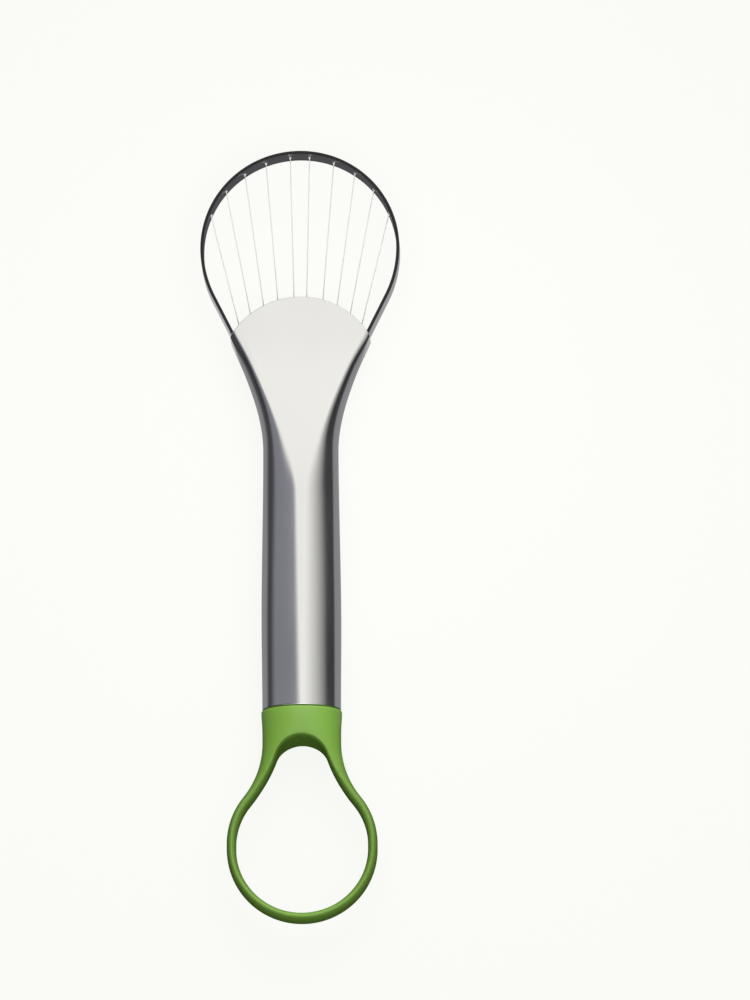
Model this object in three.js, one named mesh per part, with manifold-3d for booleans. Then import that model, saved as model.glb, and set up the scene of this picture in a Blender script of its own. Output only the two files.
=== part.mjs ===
// Wire slicer with a scoop mouth: a strip-steel hoop strung with ten wires, seated in the flattened
// mouth of an oval steel handle, with a moulded loop at the far end.
// Millimetres, +Z up, +Y towards the hoop. The origin is on the resting plane, under the middle of the length.
// A station is a distance from the top of the hoop, measured down the length.

import * as THREE from "three";
import { mergeVertices } from "three/addons/utils/BufferGeometryUtils.js";
import Module from "manifold-3d";

const wasm = await Module();
wasm.setup();

// Clearances
const SEAT_GAP = 0.3; // between pieces that seat on each other
const WIRE_GAP = 0.15; // round a wire in its hole

// Hoop strip
const HOOP_RADIUS = 31; // outer face of the upper half
const FLANK_EXTRA = 4; // added to that radius below the widest point, where the hoop runs into its legs
const STRIP_THICKNESS = 1.0;
const STRIP_DEPTH = 9;
const LEG_ANGLE = THREE.MathUtils.degToRad(26.4); // each straight leg from the length
const BEND_SETBACK = 1.2; // from a leg's corner to where its bend starts
const ARCH_SETBACK = 0.6; // from the lip to the arch of the strip behind it

// Wires and their sleeves
const WIRE_COUNT = 10;
const WIRE_DIAMETER = 0.3;
const WIRE_FLUSH = 0.3; // from the hoop's outer face to the wire's end
const WIRE_TAIL = 0.5; // wire past its sleeve
const HOOP_MARGIN = 5.11; // across the hoop's centre, from its inner face to the first wire
const LIP_MARGIN = 2.4; // across, from the lip's corner to the first wire
const MIDDLE_SHARE = 0.84; // gap between the two middle wires, as a share of the other gaps
const FERRULE_DIAMETER = 1.6;
const FERRULE_LENGTH = 4;
const FERRULE_CHAMFER = 0.25;

// Handle tube
const TUBE_WALL = 0.5;
const LIP_DROP = 16; // from the hoop's centre to the middle of the lip
const LIP_RISE = 11.75; // from the corners of the lip to its middle, along the length
const FLARE_ANGLE = THREE.MathUtils.degToRad(22); // side of the mouth from the length
const MOUTH_ROOM = 0.8; // in front of the strip in the mouth, and behind it
const MOUTH_CORNER_WIDTH = 2.3;
const MOUTH_CORNER_DEPTH = 1.3;
const ROUND_LENGTH = 12; // from the corners of the lip to where the sides are fully round
const NECK_FROM_LIP = 48.1;
const NECK_HALF_WIDTH = 11.7;
const FLAT_FROM_LIP = 63; // where the flat of the mouth has run out
const FLAT_BOW = 1.3; // how far the edges of that flat bow inwards, 1 for straight
const BARREL_FROM_LIP = 103;
const BARREL_HALF_WIDTH = 12.38;
const END_HALF_WIDTH = 12.2;
const HANDLE_HALF_DEPTH = 10.5;
const HANDLE_LENGTH = 131; // from the middle of the lip to the loop's collar
const BELLY_FLAT = 3.6; // width of the narrow flat along the front and back of the handle
const SIDE_FLAT = 1; // depth of the flat along its sides

// Moulded loop end
const LOOP_LENGTH = 67; // from the collar to the bottom of the loop
const RING_RADIUS = 23.37; // outer face
const RING_STRAIGHT = 1.65; // straight stretch on each side of the ring
const RING_WIDTH = 2.95;
const OPENING_STRAIGHT = 1.13; // straight stretch on each side of the opening
const RING_DEPTH = 9;
const RING_SIDE_FLAT = 1.2; // depth of the flat on the sides of the strand
const COLLAR_OVERHANG = 0.45; // collar's lip beyond the end of the tube
const COLLAR_LIP_LENGTH = 8;
const SHOULDER_LENGTH = 9.85; // from the collar to where the flanks start to flare
const ARCH_WALL = 9; // from the collar to the top of the opening
const ARCH_RADIUS = 8.3;
const INNER_FLANK_RADIUS = 48;
const ARCH_FILLET = 1.8;
const ARCH_FILLET_DEPTH = 2.5;
const SPIGOT_LENGTH = 14;
const SPIGOT_ROOT = 3; // from the collar into the moulding
const SPIGOT_CHAMFER = 0.8;

// Steps of the facets
const QUARTER_STEPS = 6;
const TUBE_STEP = 4.5;
const HOOP_STEPS = 44;
const FLANK_STEPS = 7;
const ARCH_STEPS = 30;
const LIP_STEPS = 48;
const BEND_STEPS = 4;
const HOLE_SIDES = 10;
const WIRE_SIDES = 8;
const FERRULE_SIDES = 12;
const RIB_COUNTS = { crown: 6, corner: 5, flank: 7, ringTop: 5, ringBottom: 10 };
const FILLET_STEPS = 4;
const RIB_STEPS = 6;
const FRAME_OVERRUN = 2; // how far a cutter runs past what it cuts
const WELD_DISTANCE = 1e-5;
const SEARCH_STEP = 1e-6;

// Places that follow from the sizes
const HOOP_STATION = HOOP_RADIUS;
const LIP_STATION = HOOP_STATION + LIP_DROP;
const RIM_STATION = LIP_STATION + LIP_RISE;
const JOINT_STATION = LIP_STATION + HANDLE_LENGTH;
const OVERALL_LENGTH = JOINT_STATION + LOOP_LENGTH;
const NECK_STATION = LIP_STATION + NECK_FROM_LIP;
const FLAT_STATION = LIP_STATION + FLAT_FROM_LIP;
const BARREL_STATION = LIP_STATION + BARREL_FROM_LIP;
const AXIS_HEIGHT = HANDLE_HALF_DEPTH;
const COLLAR_STATION = JOINT_STATION + SEAT_GAP / 2;
const TUBE_END_STATION = JOINT_STATION - SEAT_GAP / 2;

const yAt = (station) => OVERALL_LENGTH / 2 - station;
const ramp = (value, start, end) => THREE.MathUtils.smoothstep(value, start, end);
const mix = THREE.MathUtils.lerp;

// The outer face of a leg is tangent to the hoop's flank, so it leaves it at the leg's own angle.
const FLANK_RADIUS = HOOP_RADIUS + FLANK_EXTRA;
const LEG_TOP_STATION = HOOP_STATION + FLANK_RADIUS * Math.sin(LEG_ANGLE);
const LEG_TOP_HALF_WIDTH = FLANK_RADIUS * Math.cos(LEG_ANGLE) - FLANK_EXTRA;
const RIM_HALF_WIDTH = LEG_TOP_HALF_WIDTH - (RIM_STATION - LEG_TOP_STATION) * Math.tan(LEG_ANGLE);
const LIP_RADIUS = (RIM_HALF_WIDTH ** 2 + LIP_RISE ** 2) / (2 * LIP_RISE);
const LIP_CENTRE_STATION = LIP_STATION + LIP_RADIUS;
const ARCH_LOWER_RADIUS = LIP_RADIUS - ARCH_SETBACK - STRIP_THICKNESS;
const MOUTH_HALF_WIDTH = RIM_HALF_WIDTH + SEAT_GAP / Math.cos(FLARE_ANGLE) + TUBE_WALL;
const MOUTH_HALF_DEPTH = STRIP_DEPTH / 2 + MOUTH_ROOM + TUBE_WALL;

const STEEL = new THREE.MeshStandardMaterial({ color: 0xc4c5c8, metalness: 1.0, roughness: 0.3 });
const STRIP_STEEL = new THREE.MeshStandardMaterial({ color: 0x9a9b9e, metalness: 1.0, roughness: 0.35 });
const WIRE_STEEL = new THREE.MeshStandardMaterial({ color: 0xd2d3d5, metalness: 1.0, roughness: 0.25 });
const CRIMP_STEEL = new THREE.MeshStandardMaterial({ color: 0xa8a9ab, metalness: 1.0, roughness: 0.45 });
const GREEN_PLASTIC = new THREE.MeshStandardMaterial({ color: 0x7aa843, metalness: 0.0, roughness: 0.45 });

// Solids

function toSolid(geometry) {
  const bare = new THREE.BufferGeometry();
  bare.setAttribute("position", geometry.getAttribute("position").clone());
  if (geometry.index) {
    bare.setIndex(geometry.index.clone());
  }
  const merged = mergeVertices(bare, WELD_DISTANCE);
  return new wasm.Manifold(new wasm.Mesh({
    numProp: 3,
    vertProperties: new Float32Array(merged.getAttribute("position").array),
    triVerts: new Uint32Array(merged.index.array),
  }));
}

function toGeometry(solid) {
  const mesh = solid.getMesh();
  const geometry = new THREE.BufferGeometry();
  geometry.setAttribute("position", new THREE.BufferAttribute(new Float32Array(mesh.vertProperties), 3));
  geometry.setIndex(new THREE.BufferAttribute(new Uint32Array(mesh.triVerts), 1));
  geometry.computeVertexNormals();
  return geometry;
}

function signedVolume(points, triangles) {
  let volume = 0;
  for (let i = 0; i < triangles.length; i += 3) {
    const [a, b, c] = [points[triangles[i]], points[triangles[i + 1]], points[triangles[i + 2]]];
    volume += a.dot(new THREE.Vector3().crossVectors(b, c)) / 6;
  }
  return volume;
}

// Joins rings of equal length, each to the next. The last ring meets the first, unless both ends are capped.
function loft(rings, capped) {
  const count = rings[0].length;
  const points = rings.flat();
  const triangles = [];
  const spans = capped ? rings.length - 1 : rings.length;
  for (let i = 0; i < spans; i++) {
    const here = i * count;
    const next = ((i + 1) % rings.length) * count;
    for (let j = 0; j < count; j++) {
      const k = (j + 1) % count;
      triangles.push(here + j, here + k, next + k, here + j, next + k, next + j);
    }
  }
  if (capped) {
    const last = (rings.length - 1) * count;
    for (let j = 1; j < count - 1; j++) {
      triangles.push(0, j + 1, j, last, last + j, last + j + 1);
    }
  }
  if (signedVolume(points, triangles) < 0) {
    triangles.reverse();
  }
  const geometry = new THREE.BufferGeometry().setFromPoints(points);
  geometry.setIndex(triangles);
  geometry.computeVertexNormals();
  return geometry;
}

// An oval section: flats joined by quarter ellipses.
function ovalRing(station, { halfWidth, halfDepth, cornerWidth, cornerDepth }) {
  const ring = [];
  for (let quarter = 0; quarter < 4; quarter++) {
    const sideX = quarter === 0 || quarter === 3 ? 1 : -1;
    const sideZ = quarter < 2 ? 1 : -1;
    for (let step = 0; step <= QUARTER_STEPS; step++) {
      const angle = (quarter + step / QUARTER_STEPS) * (Math.PI / 2);
      const x = sideX * (halfWidth - cornerWidth) + cornerWidth * Math.cos(angle);
      const z = sideZ * (halfDepth - cornerDepth) + cornerDepth * Math.sin(angle);
      ring.push(new THREE.Vector3(x, yAt(station), AXIS_HEIGHT + z));
    }
  }
  return ring;
}

function arcPoints(centreX, centreY, radius, startAngle, endAngle, steps) {
  return Array.from({ length: steps + 1 }, (_, i) => {
    const angle = mix(startAngle, endAngle, i / steps);
    return new THREE.Vector2(centreX + radius * Math.cos(angle), centreY + radius * Math.sin(angle));
  });
}

function mirrored(points) {
  return points.map((point) => new THREE.Vector2(-point.x, point.y)).reverse();
}

// Extrudes a flat outline through the depth, centred on the handle's axis.
function throughDepth(shape, depth) {
  const geometry = new THREE.ExtrudeGeometry(shape, { depth, bevelEnabled: false, curveSegments: 1 });
  return geometry.translate(0, 0, AXIS_HEIGHT - depth / 2);
}

function named(name, geometry, material) {
  const mesh = new THREE.Mesh(geometry, material);
  mesh.name = name;
  return mesh;
}

// Handle tube

function tubeHalfWidth(station) {
  if (station < RIM_STATION) {
    return MOUTH_HALF_WIDTH + (RIM_STATION - station) * Math.tan(FLARE_ANGLE);
  }
  if (station < NECK_STATION) {
    const run = NECK_STATION - RIM_STATION;
    const t = (station - RIM_STATION) / run;
    const start = (2 * t ** 3 - 3 * t ** 2 + 1) * MOUTH_HALF_WIDTH;
    const slope = (t ** 3 - 2 * t ** 2 + t) * run * -Math.tan(FLARE_ANGLE);
    const end = (3 * t ** 2 - 2 * t ** 3) * NECK_HALF_WIDTH;
    return start + slope + end;
  }
  if (station < BARREL_STATION) {
    return mix(NECK_HALF_WIDTH, BARREL_HALF_WIDTH, ramp(station, NECK_STATION, BARREL_STATION));
  }
  return mix(BARREL_HALF_WIDTH, END_HALF_WIDTH, ramp(station, BARREL_STATION, TUBE_END_STATION));
}

// Half the width of the tube's flat face. It narrows from the mouth to the belly's flat.
function flatHalfWidth(station) {
  if (station < RIM_STATION) {
    return tubeHalfWidth(station) - MOUTH_CORNER_WIDTH;
  }
  const left = Math.max(0, (FLAT_STATION - station) / (FLAT_STATION - RIM_STATION));
  return mix(BELLY_FLAT / 2, MOUTH_HALF_WIDTH - MOUTH_CORNER_WIDTH, left ** FLAT_BOW);
}

// The mouth is a flat box with tight corners, and its sides soon turn round. The handle is a full oval.
function tubeSection(station, inset) {
  const halfWidth = tubeHalfWidth(station);
  const halfDepth = mix(MOUTH_HALF_DEPTH, HANDLE_HALF_DEPTH, ramp(station, RIM_STATION, FLAT_STATION));
  const rounding = ramp(station, RIM_STATION, RIM_STATION + ROUND_LENGTH);
  return {
    halfWidth: halfWidth - inset,
    halfDepth: halfDepth - inset,
    cornerWidth: halfWidth - flatHalfWidth(station) - inset,
    cornerDepth: mix(MOUTH_CORNER_DEPTH, halfDepth - SIDE_FLAT / 2, rounding) - inset,
  };
}

function makeHandleTube() {
  const firstStation = LIP_STATION - FRAME_OVERRUN;
  const steps = Math.ceil((TUBE_END_STATION - firstStation) / TUBE_STEP);
  const stations = Array.from({ length: steps + 1 }, (_, i) => mix(firstStation, TUBE_END_STATION, i / steps));
  const outer = stations.map((station) => ovalRing(station, tubeSection(station, 0)));
  const inner = stations.map((station) => ovalRing(station, tubeSection(station, TUBE_WALL)));
  const blank = toSolid(loft([...outer, ...inner.reverse()], false));

  // What lies beyond the lip's arc is cut away through the whole depth.
  const reach = tubeHalfWidth(firstStation) + FRAME_OVERRUN;
  const centreY = yAt(LIP_CENTRE_STATION);
  const waste = new THREE.Shape([
    ...arcPoints(0, centreY, LIP_RADIUS, 0, Math.PI, LIP_STEPS),
    new THREE.Vector2(-reach - LIP_RADIUS, centreY),
    new THREE.Vector2(-reach - LIP_RADIUS, yAt(firstStation) + FRAME_OVERRUN),
    new THREE.Vector2(reach + LIP_RADIUS, yAt(firstStation) + FRAME_OVERRUN),
    new THREE.Vector2(reach + LIP_RADIUS, centreY),
  ]);
  const cutter = toSolid(throughDepth(waste, 2 * (HANDLE_HALF_DEPTH + FRAME_OVERRUN)));
  return named("handle_tube", toGeometry(blank.subtract(cutter)), STEEL);
}

// Hoop

// Where a leg, moved in from its outer face, meets a circle round the lip's centre.
function legMeetsArch(inset, radius) {
  const towards = new THREE.Vector2(-Math.sin(LEG_ANGLE), -Math.cos(LEG_ANGLE));
  const inwards = new THREE.Vector2(-Math.cos(LEG_ANGLE), Math.sin(LEG_ANGLE));
  const start = new THREE.Vector2(LEG_TOP_HALF_WIDTH, yAt(LEG_TOP_STATION)).addScaledVector(inwards, inset);
  const fromCentre = start.clone().sub(new THREE.Vector2(0, yAt(LIP_CENTRE_STATION)));
  const half = fromCentre.dot(towards);
  const travel = -half - Math.sqrt(half ** 2 - fromCentre.lengthSq() + radius ** 2);
  return start.addScaledVector(towards, travel);
}

// One closed line of the bent strip: hoop, flanks, legs, bends and the arch behind the lip.
function stripOutline(inset, bendSetback) {
  const centreY = yAt(LIP_CENTRE_STATION);
  const archRadius = ARCH_LOWER_RADIUS + inset;
  const corner = legMeetsArch(inset, archRadius);
  const cornerAngle = Math.atan2(corner.y - centreY, corner.x);
  const archStart = cornerAngle + bendSetback / archRadius;
  const upLeg = new THREE.Vector2(Math.sin(LEG_ANGLE), Math.cos(LEG_ANGLE));
  const legEnd = corner.clone().addScaledVector(upLeg, bendSetback);
  const arch = arcPoints(0, centreY, archRadius, Math.PI - archStart, archStart, ARCH_STEPS);
  const bend = new THREE.QuadraticBezierCurve(arch.at(-1), corner, legEnd).getPoints(BEND_STEPS);
  const flank = arcPoints(-FLANK_EXTRA, yAt(HOOP_STATION), FLANK_RADIUS - inset, -LEG_ANGLE, 0, FLANK_STEPS);
  const hoop = arcPoints(0, yAt(HOOP_STATION), HOOP_RADIUS - inset, 0, Math.PI, HOOP_STEPS);
  return [
    ...flank, ...hoop.slice(1, -1), ...mirrored(flank),
    ...mirrored(bend), ...arch.slice(1, -1), ...bend,
  ];
}

function makeHoopFrame(wireLines) {
  const strip = new THREE.Shape(stripOutline(0, BEND_SETBACK));
  strip.holes.push(new THREE.Path(stripOutline(STRIP_THICKNESS, BEND_SETBACK / 2)));
  let frame = toSolid(throughDepth(strip, STRIP_DEPTH));
  const holeRadius = WIRE_DIAMETER / 2 + WIRE_GAP;
  for (const line of wireLines) {
    const length = line.ferruleStart + FRAME_OVERRUN;
    const drill = new THREE.CylinderGeometry(holeRadius, holeRadius, length, HOLE_SIDES);
    drill.translate(0, length / 2 - FRAME_OVERRUN, 0);
    drill.applyQuaternion(line.turn);
    drill.translate(line.top.x, line.top.y, line.top.z);
    frame = frame.subtract(toSolid(drill));
  }
  return named("hoop_frame", toGeometry(frame), STRIP_STEEL);
}

// Wires

// The wires are evenly spaced across the hoop's centre, and their lines all meet at one point down the handle.
const FIRST_AT_CENTRE = HOOP_RADIUS - STRIP_THICKNESS - HOOP_MARGIN;
const FIRST_AT_LIP = RIM_HALF_WIDTH - LIP_MARGIN;
const FIRST_LIP_STATION = LIP_CENTRE_STATION - Math.sqrt(LIP_RADIUS ** 2 - FIRST_AT_LIP ** 2);
const CENTRE_TO_FOCUS = (FIRST_AT_CENTRE * (FIRST_LIP_STATION - HOOP_STATION)) / (FIRST_AT_CENTRE - FIRST_AT_LIP);

// A wire's line: from its end in the hoop, through the arch and its sleeve behind it.
function wireLine(index) {
  const outermost = (WIRE_COUNT - 1) / 2;
  const place = index - outermost;
  const share = (Math.abs(place) < 1 ? place * MIDDLE_SHARE : place) / outermost;
  const atCentre = share * FIRST_AT_CENTRE;
  const direction = new THREE.Vector3(-atCentre, -CENTRE_TO_FOCUS, 0).normalize();
  const across = atCentre * direction.x;
  const toTop = Math.sqrt(across ** 2 - atCentre ** 2 + (HOOP_RADIUS - WIRE_FLUSH) ** 2) + across;
  const top = new THREE.Vector3(atCentre, yAt(HOOP_STATION), AXIS_HEIGHT).addScaledVector(direction, -toTop);

  // The sleeve's square end clears the sloping underside of the arch.
  const fromCentre = top.clone().sub(new THREE.Vector3(0, yAt(LIP_CENTRE_STATION), AXIS_HEIGHT));
  const half = fromCentre.dot(direction);
  const toArch = -half - Math.sqrt(half ** 2 - fromCentre.lengthSq() + ARCH_LOWER_RADIUS ** 2);
  const under = fromCentre.clone().addScaledVector(direction, toArch).normalize();
  const slope = Math.acos(-under.dot(direction));
  const ferruleStart = toArch + SEAT_GAP / Math.cos(slope) + (FERRULE_DIAMETER / 2) * Math.tan(slope);
  const turn = new THREE.Quaternion().setFromUnitVectors(new THREE.Vector3(0, 1, 0), direction);
  return { top, turn, ferruleStart };
}

function placeOnLine(mesh, line) {
  mesh.position.copy(line.top);
  mesh.quaternion.copy(line.turn);
  return mesh;
}

function makeWire(line, name) {
  const length = line.ferruleStart + FERRULE_LENGTH + WIRE_TAIL;
  const geometry = new THREE.CylinderGeometry(WIRE_DIAMETER / 2, WIRE_DIAMETER / 2, length, WIRE_SIDES);
  geometry.translate(0, length / 2, 0);
  return placeOnLine(named(name, geometry, WIRE_STEEL), line);
}

function makeFerrule(line, name) {
  const bore = WIRE_DIAMETER / 2 + WIRE_GAP;
  const radius = FERRULE_DIAMETER / 2;
  const end = line.ferruleStart + FERRULE_LENGTH;
  const profile = [
    new THREE.Vector2(bore, line.ferruleStart),
    new THREE.Vector2(radius - FERRULE_CHAMFER, line.ferruleStart),
    new THREE.Vector2(radius, line.ferruleStart + FERRULE_CHAMFER),
    new THREE.Vector2(radius, end - FERRULE_CHAMFER),
    new THREE.Vector2(radius - FERRULE_CHAMFER, end),
    new THREE.Vector2(bore, end),
    new THREE.Vector2(bore, line.ferruleStart),
  ];
  const geometry = new THREE.LatheGeometry(profile, FERRULE_SIDES);
  return placeOnLine(named(name, geometry, CRIMP_STEEL), line);
}

// Loop end

const COLLAR_HALF_WIDTH = END_HALF_WIDTH + COLLAR_OVERHANG;
const RING_STATION = OVERALL_LENGTH - RING_RADIUS;
const RING_TOP_STATION = RING_STATION - RING_STRAIGHT;
const OPENING_TOP_STATION = RING_STATION - OPENING_STRAIGHT;
const RING_INNER_RADIUS = RING_RADIUS - RING_WIDTH;
const RING_ROUND_DEPTH = (RING_DEPTH - RING_SIDE_FLAT) / 2;
const SHOULDER_STATION = COLLAR_STATION + SHOULDER_LENGTH;
const ARCH_STATION = COLLAR_STATION + ARCH_WALL + ARCH_RADIUS;

// The outer flank is an arc that leaves the shoulder along the length and meets the ring tangentially.
const FLANK_DROP = RING_TOP_STATION - SHOULDER_STATION;
const OUTER_FLANK_RADIUS =
  (END_HALF_WIDTH ** 2 + FLANK_DROP ** 2 - RING_RADIUS ** 2) / (2 * (RING_RADIUS - END_HALF_WIDTH));
const FLANK_END_STATION =
  RING_TOP_STATION - (RING_RADIUS * FLANK_DROP) / (OUTER_FLANK_RADIUS + RING_RADIUS);

// The inner flank is an arc tangent to the top of the opening and to the inside of the ring.
const ARCH_TO_RING = OPENING_TOP_STATION - ARCH_STATION;
const FLANK_TO_ARCH = INNER_FLANK_RADIUS + ARCH_RADIUS;
const FLANK_TO_RING = INNER_FLANK_RADIUS + RING_INNER_RADIUS;
const FLANK_LIFT = (FLANK_TO_RING ** 2 - FLANK_TO_ARCH ** 2 - ARCH_TO_RING ** 2) / (2 * ARCH_TO_RING);
const FLANK_CENTRE = new THREE.Vector2(Math.sqrt(FLANK_TO_ARCH ** 2 - FLANK_LIFT ** 2), ARCH_STATION - FLANK_LIFT);

// The shoulder is flush with the tube, and the collar's lip flares out from it.
function loopHalfWidth(station) {
  if (station < SHOULDER_STATION) {
    const flare = Math.max(0, 1 - (station - COLLAR_STATION) / COLLAR_LIP_LENGTH);
    return mix(END_HALF_WIDTH, COLLAR_HALF_WIDTH, flare ** 2);
  }
  const drop = station - SHOULDER_STATION;
  return END_HALF_WIDTH + OUTER_FLANK_RADIUS - Math.sqrt(OUTER_FLANK_RADIUS ** 2 - drop ** 2);
}

function depthInFromOutline(x, station) {
  if (station > FLANK_END_STATION) {
    const centre = THREE.MathUtils.clamp(station, RING_TOP_STATION, RING_STATION);
    return RING_RADIUS - Math.hypot(x, station - centre);
  }
  const lean = Math.max(0, station - SHOULDER_STATION) / OUTER_FLANK_RADIUS;
  return (loopHalfWidth(station) - x) * Math.sqrt(1 - lean ** 2);
}

// 0 on the collar's oval, 1 on the ring's strand.
function loopTaper(station) {
  return ramp(station, COLLAR_STATION + COLLAR_LIP_LENGTH, FLANK_END_STATION);
}

// Half the moulding's depth at a point: an oval at the collar, a rounded strand in the ring.
function loopHalfDepth(x, station) {
  const taper = loopTaper(station);
  const full = mix(HANDLE_HALF_DEPTH, RING_DEPTH / 2, taper);
  const roundWidth = mix(END_HALF_WIDTH - BELLY_FLAT / 2, RING_WIDTH / 2, taper);
  const roundDepth = mix(HANDLE_HALF_DEPTH - SIDE_FLAT / 2, RING_ROUND_DEPTH, taper);
  const inRound = THREE.MathUtils.clamp(1 - depthInFromOutline(x, station) / roundWidth, 0, 1);
  return full - roundDepth * (1 - Math.sqrt(1 - inRound ** 2));
}

// A rib runs from the opening's edge to the outline, square to the opening. This gives its length.
function ribLength(start, heading) {
  const isOutside = (distance) =>
    depthInFromOutline(start.x + heading.x * distance, start.y + heading.y * distance) < 0;
  const toCollar = heading.y < 0 ? (start.y - COLLAR_STATION) / -heading.y : Infinity;
  let near = 0;
  let far = Math.min(toCollar, LOOP_LENGTH);
  if (!isOutside(far)) {
    return far;
  }
  while (far - near > SEARCH_STEP) {
    const middle = (near + far) / 2;
    [near, far] = isOutside(middle) ? [near, middle] : [middle, far];
  }
  return near;
}

// Ribs of the right half, from the top of the opening to the bottom of the ring. Points are (x, station).
function loopRibs() {
  const ribs = [];
  const addArc = (centre, radius, side, startAngle, endAngle, steps) => {
    for (let i = 0; i < steps; i++) {
      const angle = mix(startAngle, endAngle, i / steps);
      const outwards = new THREE.Vector2(Math.sin(angle), -Math.cos(angle));
      const start = centre.clone().addScaledVector(outwards, side * radius);
      ribs.push({ start, heading: outwards, length: ribLength(start, outwards) });
    }
  };
  const archCentre = new THREE.Vector2(0, ARCH_STATION);
  const ringTop = new THREE.Vector2(0, OPENING_TOP_STATION);
  const ringBottom = new THREE.Vector2(0, RING_STATION);
  const cornerAngle = Math.atan2(COLLAR_HALF_WIDTH, ARCH_STATION - COLLAR_STATION);
  const archEnd = Math.atan2(FLANK_CENTRE.x, ARCH_STATION - FLANK_CENTRE.y);
  const flankEnd = Math.atan2(FLANK_CENTRE.x, OPENING_TOP_STATION - FLANK_CENTRE.y);
  addArc(archCentre, ARCH_RADIUS, 1, 0, cornerAngle, RIB_COUNTS.crown);
  addArc(archCentre, ARCH_RADIUS, 1, cornerAngle, archEnd, RIB_COUNTS.corner);
  addArc(FLANK_CENTRE, INNER_FLANK_RADIUS, -1, archEnd, flankEnd, RIB_COUNTS.flank);
  addArc(ringTop, RING_INNER_RADIUS, 1, flankEnd, Math.PI / 2, RIB_COUNTS.ringTop);
  addArc(ringBottom, RING_INNER_RADIUS, 1, Math.PI / 2, Math.PI, RIB_COUNTS.ringBottom);
  addArc(ringBottom, RING_INNER_RADIUS, 1, Math.PI, Math.PI, 1);
  return ribs;
}

// The section on a rib, front side from the opening outwards and back side returning.
function ribSection({ start, heading, length }, mirror) {
  const taper = loopTaper(start.y);
  const fillet = Math.min(mix(ARCH_FILLET, RING_WIDTH / 2, taper), length / 2);
  const filletDepth = mix(ARCH_FILLET_DEPTH, RING_ROUND_DEPTH, taper);
  const along = [];
  for (let i = 0; i < FILLET_STEPS; i++) {
    along.push(fillet * (1 - Math.cos((i / FILLET_STEPS) * (Math.PI / 2))));
  }
  for (let i = 0; i <= RIB_STEPS; i++) {
    along.push(length - (length - fillet) * (1 - i / RIB_STEPS) ** 2);
  }
  const front = along.map((distance) => {
    const x = start.x + heading.x * distance;
    const station = start.y + heading.y * distance;
    const inFillet = Math.max(0, 1 - distance / fillet);
    const rounded = filletDepth * (1 - Math.sqrt(1 - inFillet ** 2));
    return new THREE.Vector3(mirror * x, yAt(station), loopHalfDepth(x, station) - rounded);
  });
  const back = front.map((point) => new THREE.Vector3(point.x, point.y, -point.z)).reverse();
  return [...front, ...back].map((point) => point.setZ(AXIS_HEIGHT + point.z));
}

function makeLoopEnd() {
  const right = loopRibs();
  const left = right.slice(1, -1).reverse();
  const moulding = loft([
    ...right.map((rib) => ribSection(rib, 1)),
    ...left.map((rib) => ribSection(rib, -1)),
  ], false);

  const spigotSection = (inset) => {
    const halfWidth = END_HALF_WIDTH - TUBE_WALL - SEAT_GAP - inset;
    const halfDepth = HANDLE_HALF_DEPTH - TUBE_WALL - SEAT_GAP - inset;
    return {
      halfWidth,
      halfDepth,
      cornerWidth: halfWidth - BELLY_FLAT / 2,
      cornerDepth: halfDepth - SIDE_FLAT / 2,
    };
  };
  const spigot = loft([
    ovalRing(COLLAR_STATION + SPIGOT_ROOT, spigotSection(0)),
    ovalRing(COLLAR_STATION - SPIGOT_LENGTH + SPIGOT_CHAMFER, spigotSection(0)),
    ovalRing(COLLAR_STATION - SPIGOT_LENGTH, spigotSection(SPIGOT_CHAMFER)),
  ], true);
  return named("loop_end", toGeometry(toSolid(moulding).add(toSolid(spigot))), GREEN_PLASTIC);
}

// Assembly

const slicer = new THREE.Group();
slicer.name = "wire_slicer";
const wireLines = Array.from({ length: WIRE_COUNT }, (_, index) => wireLine(index));
slicer.add(makeHandleTube(), makeHoopFrame(wireLines), makeLoopEnd());
wireLines.forEach((line, index) => {
  const number = String(index + 1).padStart(2, "0");
  slicer.add(makeWire(line, `wire_${number}`), makeFerrule(line, `wire_ferrule_${number}`));
});

export default slicer;
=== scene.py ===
"""Looks of a wire slicer with a scoop mouth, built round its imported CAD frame, in metres.

A station is a distance from the top of the hoop, measured down the length of the tool.
"""

import math

import bmesh
import bpy
from bpy.props import FloatProperty, FloatVectorProperty, IntProperty, PointerProperty
from mathutils import Matrix, Vector


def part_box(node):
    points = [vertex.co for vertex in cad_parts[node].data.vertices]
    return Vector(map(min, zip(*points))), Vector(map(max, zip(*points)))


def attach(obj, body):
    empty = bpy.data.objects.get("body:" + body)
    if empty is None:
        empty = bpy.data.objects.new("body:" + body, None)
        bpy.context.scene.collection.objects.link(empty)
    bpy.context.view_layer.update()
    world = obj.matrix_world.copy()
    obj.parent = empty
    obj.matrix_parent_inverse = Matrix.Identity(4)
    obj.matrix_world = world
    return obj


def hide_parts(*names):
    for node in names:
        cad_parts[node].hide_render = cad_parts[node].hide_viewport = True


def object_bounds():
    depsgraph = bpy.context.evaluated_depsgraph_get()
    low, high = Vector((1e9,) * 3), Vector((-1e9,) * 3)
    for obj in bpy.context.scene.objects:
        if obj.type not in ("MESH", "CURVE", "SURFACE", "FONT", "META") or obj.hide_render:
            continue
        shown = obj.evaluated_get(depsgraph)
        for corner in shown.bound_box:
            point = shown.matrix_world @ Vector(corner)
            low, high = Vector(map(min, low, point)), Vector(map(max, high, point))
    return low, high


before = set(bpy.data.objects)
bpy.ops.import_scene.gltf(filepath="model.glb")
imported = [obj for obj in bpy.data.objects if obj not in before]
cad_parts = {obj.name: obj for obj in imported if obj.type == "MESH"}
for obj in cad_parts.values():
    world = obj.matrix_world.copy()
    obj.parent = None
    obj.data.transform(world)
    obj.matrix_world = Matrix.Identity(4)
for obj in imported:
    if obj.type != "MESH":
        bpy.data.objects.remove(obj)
CAD_LOW, CAD_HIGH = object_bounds()
HOOP_LOW, HOOP_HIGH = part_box("hoop_frame")
TUBE_LOW, TUBE_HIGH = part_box("handle_tube")
LOOP_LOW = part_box("loop_end")[0]

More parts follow.
